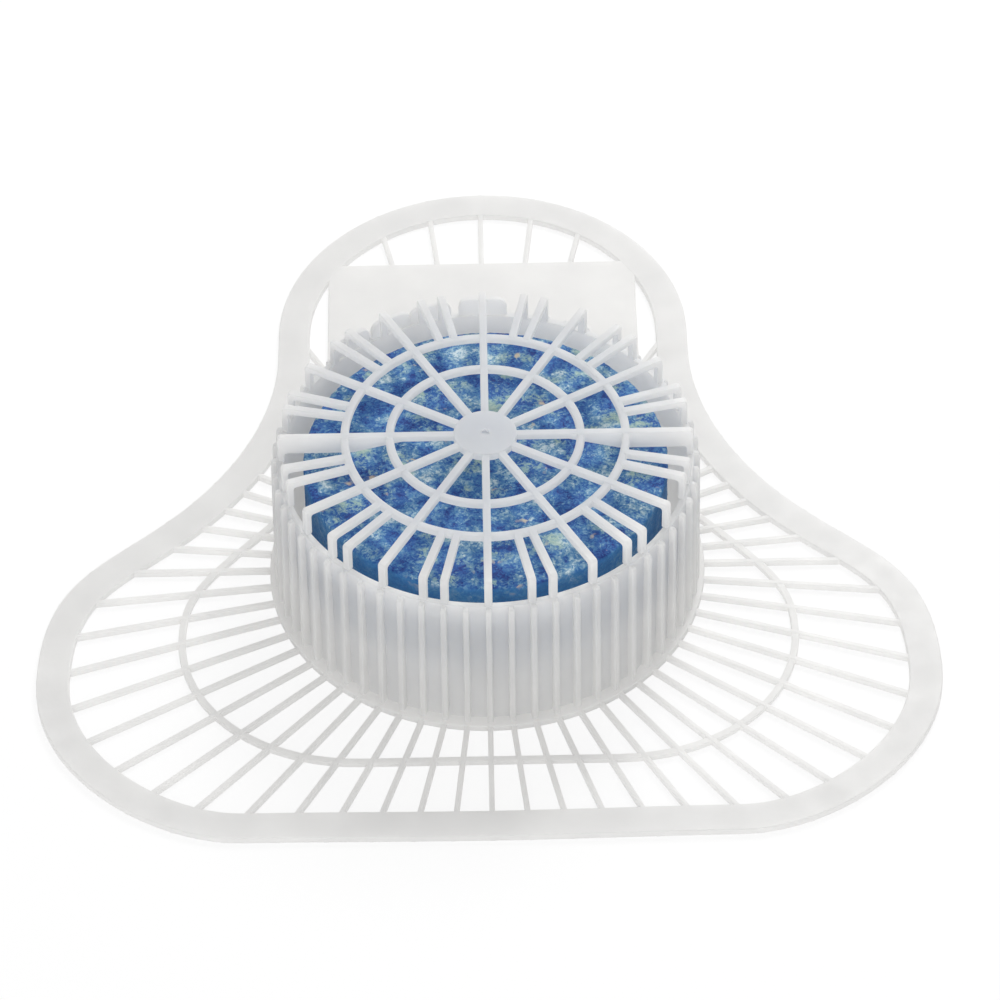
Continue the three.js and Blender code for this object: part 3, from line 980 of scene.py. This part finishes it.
def pressed_flakes(finishes, sizes, soft):
    """Pressed flakes in dark, middle and pale blue, in patches, with greenish and straw-coloured ones."""
    shading = Shading("pressed deodorizer flakes")
    straight = shading.place()
    wander = shading.noise(straight, sizes.wander)["Color"]
    settings = {"operation": "SCALE"}
    shift = shading.node("ShaderNodeVectorMath", settings, i0=wander, Scale=sizes.wander_reach).outputs[0]
    place = shading.moved(straight, shift)

    # Flakes of two sizes with a tone each, in patches and clots, with dust between them
    flake = shading.cells(place, soft.flake)
    flake_tone, straw_tone, _ = shading.split(flake["Color"])
    sliver_tone = shading.split(shading.cells(place, sizes.sliver * soft.flake)["Color"])[0]
    patch = shading.remap(shading.noise(place, sizes.patch, detail=2, roughness=0.55)["Fac"], 0.36, 0.66)
    clot = shading.remap(shading.noise(place, sizes.clot, detail=2)["Fac"], 0.35, 0.65)
    dust = shading.remap(shading.noise(place, sizes.dust, roughness=0.65)["Fac"], 0.3, 0.7)
    tone = shading.total((patch, 0.36), (clot, 0.18), (flake_tone, 0.16), (sliver_tone, 0.26), (dust, 0.12))
    colour = shading.ramp(
        tone,
        (0.24, finishes.navy),
        (0.42, finishes.blue),
        (0.60, finishes.steel),
        (0.75, finishes.pale),
        (0.88, finishes.white),
    )

    # Greenish patches where the flakes are pale, and a few straw-coloured ones
    tinge = shading.noise(shading.moved(place, (0.05, 0.02, 0)), sizes.green, detail=2)["Fac"]
    pale = shading.remap(tone, 0.45, 0.7)
    greenish = shading.math("MULTIPLY", shading.remap(tinge, 0.52, 0.64, 0, 0.7), pale)
    colour = shading.mix(greenish, colour, finishes.green)
    tinge = shading.noise(shading.moved(place, (0.02, 0.06, 0)), sizes.straw, detail=2)["Fac"]
    bright = shading.remap(straw_tone, 0.3, 0.7)
    straw = shading.math("MULTIPLY", shading.remap(tinge, 0.68, 0.74, 0, 0.8), bright)
    colour = shading.mix(straw, colour, finishes.straw)

    # The side was pressed against a mould and is smoother and more even
    upright = shading.node("ShaderNodeSeparateXYZ", Vector=shading.facing()).outputs["Z"]
    side = shading.remap(shading.math("ABSOLUTE", upright), 0.35, 0.8, 0.72, 0)
    colour = shading.mix(side, colour, finishes.side)
    height = shading.total((flake["Distance"], 0.8), (dust, 0.5), (clot, 0.6))
    solid = shading.node(
        "ShaderNodeBsdfPrincipled",
        Base_Color=colour,
        Roughness=shading.remap(dust, 0, 1, 0.5, 0.8),
        Specular_IOR_Level=0.35,
        Normal=shading.bump(height, 0.6, sizes.flake_depth),
    )
    return shading.output(solid.outputs[0])


def white_to_camera(shading, shader, white_share):
    """A shader with a share of plain white where it is seen, which gives and takes all other light."""
    white = shading.node("ShaderNodeEmission", Strength=1.0)
    return shading.blend(shading.math("MULTIPLY", shading.seen(), white_share), shader, white.outputs[0])


# Stage


class DEODORIZER_OT_stage(Operator):
    """Makes the camera, the pale floor and the soft studio lamps"""

    bl_idname = "deodorizer.stage"
    bl_label = "Stage"

    sensor = 36  # millimetres, in which the focal length is given
    nearest = 0.01  # metres, where the camera begins to see

    def camera(self, settings):
        elevation = math.radians(settings.elevation)
        azimuth = math.radians(settings.azimuth)
        level = math.cos(elevation)
        back = Vector((math.sin(azimuth) * level, -math.cos(azimuth) * level, math.sin(elevation)))
        target = Vector((settings.target_x, 0, 0))
        bpy.ops.object.camera_add(location=target + settings.distance * back)
        camera = bpy.context.object
        camera.name = "photo_camera"
        camera.data.lens = settings.focal
        camera.data.sensor_width = self.sensor
        camera.data.clip_start = self.nearest
        roll = Matrix.Rotation(math.radians(-settings.roll), 3, "Z")
        camera.rotation_euler = (back.to_track_quat("Z", "Y").to_matrix() @ roll).to_euler()
        bpy.context.scene.camera = camera

    def lamp(self, name, place, size, power):
        """A soft square lamp that looks at the object."""
        place = Vector(place)
        bpy.ops.object.light_add(type="AREA", location=place)
        lamp = bpy.context.object
        lamp.name = name
        lamp.data.size = size
        lamp.data.energy = power
        lamp.rotation_euler = place.to_track_quat("Z", "Y").to_euler()

    def floor(self, settings, cloud):
        bpy.ops.mesh.primitive_plane_add(size=settings.floor_size, location=(0, 0, 0))
        floor = named("floor")
        shading = Shading("pale floor")
        speckle = shading.noise(shading.place(), cloud)["Fac"]
        colour = shading.mix(shading.remap(speckle, 0, 1, 0, 0.02), settings.floor, (1, 1, 1))
        matt = shading.node("ShaderNodeBsdfDiffuse", Color=colour).outputs[0]
        floor.data.materials.append(shading.output(white_to_camera(shading, matt, settings.white)))

    def world(self, settings):
        """Even light, with a white background for the camera, gloss and clear plastic."""
        world = bpy.data.worlds.new("studio")
        world.use_nodes = True
        bpy.context.scene.world = world
        shading = Shading("studio", world.node_tree)
        lit = shading.node("ShaderNodeBackground", Color=(1, 1, 1), Strength=settings.ambient)
        white = shading.node("ShaderNodeBackground", Color=(1, 1, 1), Strength=1.0)
        both = shading.blend(shading.seen(), lit.outputs[0], white.outputs[0])
        shading.node("ShaderNodeOutputWorld", Surface=both)

    def execute(self, context):
        settings = context.scene.stage_settings
        self.camera(settings)
        self.floor(settings, context.scene.patterns.floor)
        self.world(settings)
        self.lamp("key", settings.key_place, settings.key_size, settings.key)
        self.lamp("fill", settings.fill_place, settings.fill_size, settings.fill)
        context.scene.view_settings.view_transform = "Standard"
        return {"FINISHED"}


class DEODORIZER_PT_panel(Panel):
    """Lists the sizes, the finishes and the steps"""

    bl_label = "Urinal screen"
    bl_idname = "DEODORIZER_PT_panel"
    bl_space_type = "VIEW_3D"
    bl_region_type = "UI"
    bl_category = "Urinal screen"

    def draw(self, context):
        for step in STEPS:
            self.layout.operator(step.bl_idname)
        for name in GROUPS:
            box = self.layout.box()
            group = getattr(context.scene, name)
            for key in group.bl_rna.properties.keys():
                if key not in ("rna_type", "name"):
                    box.prop(group, key)


GROUPS = {
    "flange_sizes": FlangeSizes,
    "drum_sizes": DrumSizes,
    "cage_sizes": CageSizes,
    "soft_edges": SoftEdges,
    "finishes": Finishes,
    "patterns": Patterns,
    "stage_settings": StageSettings,
}
STEPS = (
    DEODORIZER_OT_stage,
    DEODORIZER_OT_wall,
    DEODORIZER_OT_fins,
    DEODORIZER_OT_tabs,
    DEODORIZER_OT_lugs,
    DEODORIZER_OT_rim,
    DEODORIZER_OT_ribs,
    DEODORIZER_OT_middle_ring,
    DEODORIZER_OT_plate,
    DEODORIZER_OT_spokes,
    DEODORIZER_OT_cage_rings,
    DEODORIZER_OT_hub,
    DEODORIZER_OT_join,
    DEODORIZER_OT_block,
)


def register():
    for kind in (*GROUPS.values(), *STEPS, DEODORIZER_PT_panel):
        bpy.utils.register_class(kind)
    for name, kind in GROUPS.items():
        setattr(bpy.types.Scene, name, PointerProperty(type=kind))


def unregister():
    for name in GROUPS:
        delattr(bpy.types.Scene, name)
    for kind in reversed((*GROUPS.values(), *STEPS, DEODORIZER_PT_panel)):
        bpy.utils.unregister_class(kind)


def main():
    register()
    for step in STEPS:
        family, name = step.bl_idname.split(".")
        getattr(getattr(bpy.ops, family), name)()


if __name__ == "__main__":
    main()
